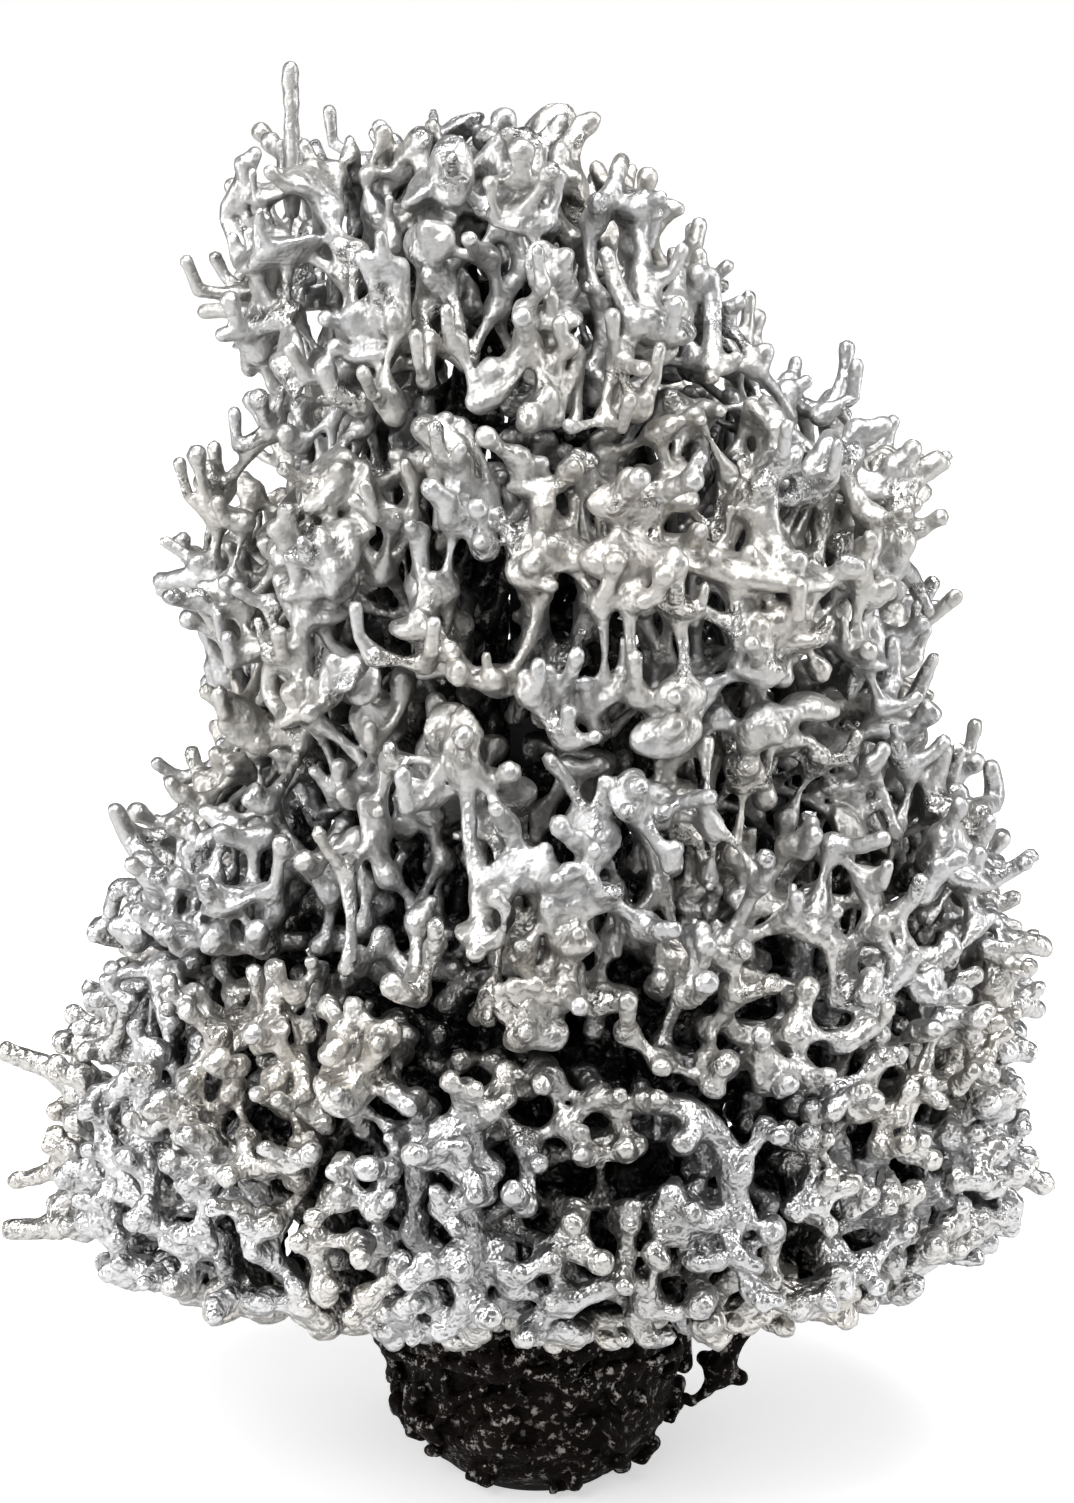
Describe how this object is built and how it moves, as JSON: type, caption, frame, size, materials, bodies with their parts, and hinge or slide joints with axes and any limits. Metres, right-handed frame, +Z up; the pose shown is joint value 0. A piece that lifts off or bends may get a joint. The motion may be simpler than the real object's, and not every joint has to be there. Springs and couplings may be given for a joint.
{
  "type": "magnetic desk sculpture",
  "caption": "Coral-like cast metal tower for a desk, built of loose branching castings that cling by magnets to a steel core on a dark weighted foot.",
  "frame": {"origin": "centre of the foot pad's underside, on the axis of the foot and the steel core", "axes": "+Z up, -Y towards the front of the pictured side, +X to the viewer's right"},
  "size_m": [0.26, 0.2407, 0.38],
  "materials": {
    "cast_aluminium": "as cast, satin with pitted patches",
    "dark_cast_foot": "dark rough casting with metal glints",
    "core_steel": "black oxide on drawn bar",
    "screw_steel": "plain zinc plated",
    "magnet_nickel": "bright nickel plate",
    "ballast_iron": "turned cast iron",
    "black_plate": "matt black paint",
    "rubber_pad": "matt"
  },
  "bodies": {
    "base": {"foot_shell": "dark_cast_foot", "foot_pad": "rubber_pad", "base_plate": "black_plate", "ballast": "ballast_iron", "plate_screws": "screw_steel", "foot_collar": "dark_cast_foot", "hanging_twig": "dark_cast_foot", "lower_core": "core_steel", "upper_core": "core_steel", "core_bolt": "screw_steel", "core_washer": "screw_steel", "top_bar": "core_steel", "bar_screw": "screw_steel"},
    "skirt_front": {"skirt_front": "cast_aluminium", "skirt_front_magnet": "magnet_nickel"},
    "skirt_front_right": {"skirt_front_right": "cast_aluminium", "skirt_front_right_magnet": "magnet_nickel"},
    "skirt_back_right": {"skirt_back_right": "cast_aluminium", "skirt_back_right_magnet": "magnet_nickel"},
    "skirt_back": {"skirt_back": "cast_aluminium", "skirt_back_magnet": "magnet_nickel"},
    "skirt_back_left": {"skirt_back_left": "cast_aluminium", "skirt_back_left_magnet": "magnet_nickel"},
    "skirt_front_left": {"skirt_front_left": "cast_aluminium", "skirt_front_left_magnet": "magnet_nickel"},
    "waist_front_right": {"waist_front_right": "cast_aluminium", "waist_front_right_magnet": "magnet_nickel"},
    "waist_back": {"waist_back": "cast_aluminium", "waist_back_magnet": "magnet_nickel"},
    "waist_left": {"waist_left": "cast_aluminium", "waist_left_magnet": "magnet_nickel"},
    "shoulder_front_right": {"shoulder_front_right": "cast_aluminium", "shoulder_front_right_magnet": "magnet_nickel"},
    "shoulder_back": {"shoulder_back": "cast_aluminium", "shoulder_back_magnet": "magnet_nickel"},
    "shoulder_left": {"shoulder_left": "cast_aluminium", "shoulder_left_magnet": "magnet_nickel"},
    "crown_left": {"crown_left": "cast_aluminium", "crown_left_magnet": "magnet_nickel", "needle": "cast_aluminium"},
    "crown_centre": {"crown_centre": "cast_aluminium", "crown_centre_magnet": "magnet_nickel"},
    "crown_right": {"crown_right": "cast_aluminium", "crown_right_magnet": "magnet_nickel"}
  },
  "joints": [
    {"name": "skirt_front_pull", "type": "slide", "parent": "base", "child": "skirt_front", "axis": [0, -1, 0], "range_m": [0, 0.12]},
    {"name": "skirt_front_right_pull", "type": "slide", "parent": "base", "child": "skirt_front_right", "axis": [0.866, -0.5, 0], "range_m": [0, 0.12]},
    {"name": "skirt_back_right_pull", "type": "slide", "parent": "base", "child": "skirt_back_right", "axis": [0.866, 0.5, 0], "range_m": [0, 0.12]},
    {"name": "skirt_back_pull", "type": "slide", "parent": "base", "child": "skirt_back", "axis": [0, 1, 0], "range_m": [0, 0.12]},
    {"name": "skirt_back_left_pull", "type": "slide", "parent": "base", "child": "skirt_back_left", "axis": [-0.866, 0.5, 0], "range_m": [0, 0.12]},
    {"name": "skirt_front_left_pull", "type": "slide", "parent": "base", "child": "skirt_front_left", "axis": [-0.866, -0.5, 0], "range_m": [0, 0.12]},
    {"name": "waist_front_right_pull", "type": "slide", "parent": "base", "child": "waist_front_right", "axis": [0.5, -0.866, 0], "range_m": [0, 0.11]},
    {"name": "waist_back_pull", "type": "slide", "parent": "base", "child": "waist_back", "axis": [0.5, 0.866, 0], "range_m": [0, 0.11]},
    {"name": "waist_left_pull", "type": "slide", "parent": "base", "child": "waist_left", "axis": [-1, 0, 0], "range_m": [0, 0.11]},
    {"name": "shoulder_front_right_pull", "type": "slide", "parent": "base", "child": "shoulder_front_right", "axis": [0.5, -0.866, 0], "range_m": [0, 0.11]},
    {"name": "shoulder_back_pull", "type": "slide", "parent": "base", "child": "shoulder_back", "axis": [0.5, 0.866, 0], "range_m": [0, 0.11]},
    {"name": "shoulder_left_pull", "type": "slide", "parent": "base", "child": "shoulder_left", "axis": [-1, 0, 0], "range_m": [0, 0.11]},
    {"name": "crown_left_lift", "type": "slide", "parent": "base", "child": "crown_left", "axis": [0, 0, 1], "range_m": [0, 0.095]},
    {"name": "crown_centre_lift", "type": "slide", "parent": "base", "child": "crown_centre", "axis": [0, 0, 1], "range_m": [0, 0.095]},
    {"name": "crown_right_lift", "type": "slide", "parent": "base", "child": "crown_right", "axis": [0, 0, 1], "range_m": [0, 0.095]}
  ]
}
